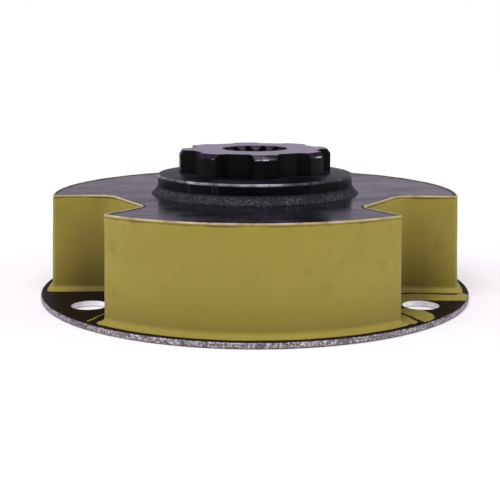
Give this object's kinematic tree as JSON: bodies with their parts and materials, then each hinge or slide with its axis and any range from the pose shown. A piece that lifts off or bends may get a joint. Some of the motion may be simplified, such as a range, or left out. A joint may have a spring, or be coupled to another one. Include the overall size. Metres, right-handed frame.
{
  "type": "jaw coupling",
  "caption": "Round rubber flange coupling: lobed elastomer ring bonded between a drilled flange and a hub plate, with a toothed, splined plug-in hub.",
  "frame": {"origin": "centre of the flange's outer face, on the shaft axis", "axes": "+Z along the shaft axis towards the hub's free end, -Y through the middle of one rubber lobe"},
  "size_m": [0.15, 0.15, 0.0502],
  "materials": {
    "flange_black": "black coating, bare sheared rim",
    "elastomer": "olive yellow moulded polyurethane, satin",
    "plate_black": "semi-gloss black coating",
    "collar_black": "semi-gloss black coating",
    "weld": "grainy grey weld",
    "hub_steel": "machined top, blackened sides"
  },
  "bodies": {
    "flange_side": {"flange_plate": "flange_black", "rubber_body": "elastomer"},
    "hub_side": {"hub_plate": "plate_black", "socket_collar": "collar_black", "collar_weld": "weld"},
    "hub": {"splined_hub": "hub_steel"}
  },
  "joints": [
    {"name": "rubber_wind_up", "type": "hinge", "parent": "flange_side", "child": "hub_side", "pos_m": [0, 0, 0.0185], "axis": [0, 0, 1], "range_deg": [-7, 7], "stiffness_Nm_per_rad": 1500, "deforming": ["rubber_body"]},
    {"name": "hub_slide", "type": "slide", "parent": "hub_side", "child": "hub", "axis": [0, 0, 1], "range_m": [0, 0.018]}
  ]
}
